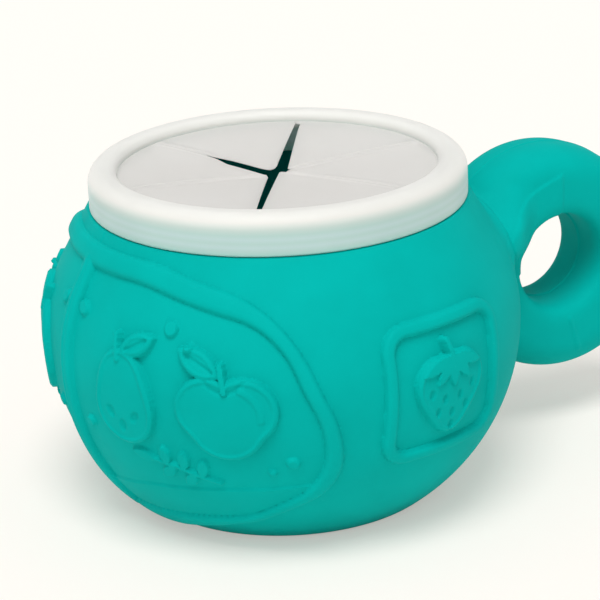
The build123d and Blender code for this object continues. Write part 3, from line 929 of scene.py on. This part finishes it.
def seen_directly(tree):
    """1 for a ray from the camera, a gloss or a clear piece, and 0 for light on its way."""
    path = tree.nodes.new("ShaderNodeLightPath")
    most = path.outputs["Is Camera Ray"]
    for kind in ("Is Glossy Ray", "Is Transmission Ray"):
        larger = tree.nodes.new("ShaderNodeMath")
        larger.operation = "MAXIMUM"
        tree.links.new(most, larger.inputs[0])
        tree.links.new(path.outputs[kind], larger.inputs[1])
        most = larger.outputs[0]
    return most


def floor_material():
    """Pale studio paper; part of what the camera sees of it is plain, which keeps its shadows soft."""
    s = Shader("pale_paper")
    s.surface.inputs["Base Color"].default_value = srgb(PAPER_LIT)
    s.surface.inputs["Roughness"].default_value = 0.9
    s.surface.inputs["Specular IOR Level"].default_value = 0.0
    plain = s.add("ShaderNodeEmission", {"Color": srgb(PAPER), "Strength": 1.0})
    amount = s.add("ShaderNodeMath", {1: PLAIN_SHARE}, operation="MULTIPLY")
    mix = s.add("ShaderNodeMixShader")
    s.link(seen_directly(s.tree), amount.inputs[0])
    s.link(amount.outputs[0], mix.inputs["Fac"])
    s.link(s.surface.outputs[0], mix.inputs[1])
    s.link(plain.outputs[0], mix.inputs[2])
    s.link(mix.outputs[0], s.tree.nodes["Material Output"].inputs["Surface"])
    return s.material


# ---------------------------------------------------------------- scene

def dress(obj, material):
    """Gives a piece its material."""
    obj.data.materials.clear()
    obj.data.materials.append(material)


def build_object():
    """The cup with its handle, the cover's rim, and the six flaps, shaped to sag from the rim inwards."""
    teal = cup_material()
    milky = cover_material("milky_silicone", RIM_COLOURS_AND_PAINTED_GLOW, SKIRT_ALPHA, CROWN_ALPHA)
    disc = cover_material("milky_silicone_disc", DISC_COLOURS, DISC_ALPHA, DISC_ALPHA)
    points, faces = cup_mesh(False)
    cup = mesh_object("cup_moulding", points, faces, SHARP)
    dress(cup, teal)
    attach(cup, "cup")
    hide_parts("cup")
    rim = cover_rim()
    dress(rim, milky)
    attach(rim, "cover")
    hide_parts("cover")
    for number in range(FLAPS):
        piece = flap_piece(number)
        dress(piece, disc)
        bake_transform(piece)
        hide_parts(f"flap_{number + 1}")


def soft_light(name, place, spread, strength):
    """Broad even light from far off in the direction of place, over spread degrees of the sky."""
    lamp = bpy.data.lights.new(name, "SUN")
    lamp.angle, lamp.energy = math.radians(spread), strength
    obj = bpy.data.objects.new(name, lamp)
    obj.location = place
    obj.rotation_euler = (-Vector(place)).to_track_quat("-Z", "Y").to_euler()
    bpy.context.scene.collection.objects.link(obj)


def studio():
    """Pale floor, soft even light and a white backdrop."""
    corners = [(-FLOOR_HALF, -FLOOR_HALF, 0), (FLOOR_HALF, -FLOOR_HALF, 0),
               (FLOOR_HALF, FLOOR_HALF, 0), (-FLOOR_HALF, FLOOR_HALF, 0)]
    floor = mesh_object("floor", corners, [(0, 1, 2, 3)])
    floor.data.materials.append(floor_material())
    floor.location.z = -FLOOR_DROP * MM
    world = bpy.data.worlds.new("studio")
    bpy.context.scene.world = world
    world.use_nodes = True
    tree = world.node_tree
    soft, white = tree.nodes["Background"], tree.nodes.new("ShaderNodeBackground")
    soft.inputs["Color"].default_value = SKY_COLOUR
    soft.inputs["Strength"].default_value = SKY_STRENGTH
    white.inputs["Color"].default_value = srgb(PAPER)
    mix = tree.nodes.new("ShaderNodeMixShader")
    tree.links.new(seen_directly(tree), mix.inputs["Fac"])
    tree.links.new(soft.outputs[0], mix.inputs[1])
    tree.links.new(white.outputs[0], mix.inputs[2])
    tree.links.new(mix.outputs[0], tree.nodes["World Output"].inputs["Surface"])
    soft_light("overhead", place=(-0.2, -0.3, 0.9), spread=30, strength=1.85)
    soft_light("left", place=(-0.8, -0.6, 0.4), spread=70, strength=0.35)


def camera():
    """Camera at the photograph's angle, with its small roll."""
    data = bpy.data.cameras.new("camera")
    data.sensor_width, data.lens = SENSOR, LENS
    data.clip_start, data.clip_end = CLIP_NEAR * MM, CLIP_FAR * MM
    right = Vector((math.cos(VIEW_TURN), -math.sin(VIEW_TURN), 0))
    away = Vector((math.sin(VIEW_TURN), math.cos(VIEW_TURN), 0))
    up = away * math.sin(VIEW_UP) + Vector((0, 0, math.cos(VIEW_UP)))
    back = -away * math.cos(VIEW_UP) + Vector((0, 0, math.sin(VIEW_UP)))
    place = Vector((0, 0, VIEW_AIM_Z)) + back * VIEW_FAR + right * VIEW_SIDE + up * VIEW_RISE
    side = right * math.cos(VIEW_ROLL) + up * math.sin(VIEW_ROLL)
    top = up * math.cos(VIEW_ROLL) - right * math.sin(VIEW_ROLL)
    obj = bpy.data.objects.new("camera", data)
    obj.matrix_world = Matrix.Translation(place * MM) @ Matrix((side, top, back)).transposed().to_4x4()
    bpy.context.scene.collection.objects.link(obj)
    bpy.context.scene.camera = obj


build_object()
studio()
camera()
bpy.context.scene.view_settings.view_transform = "Standard"
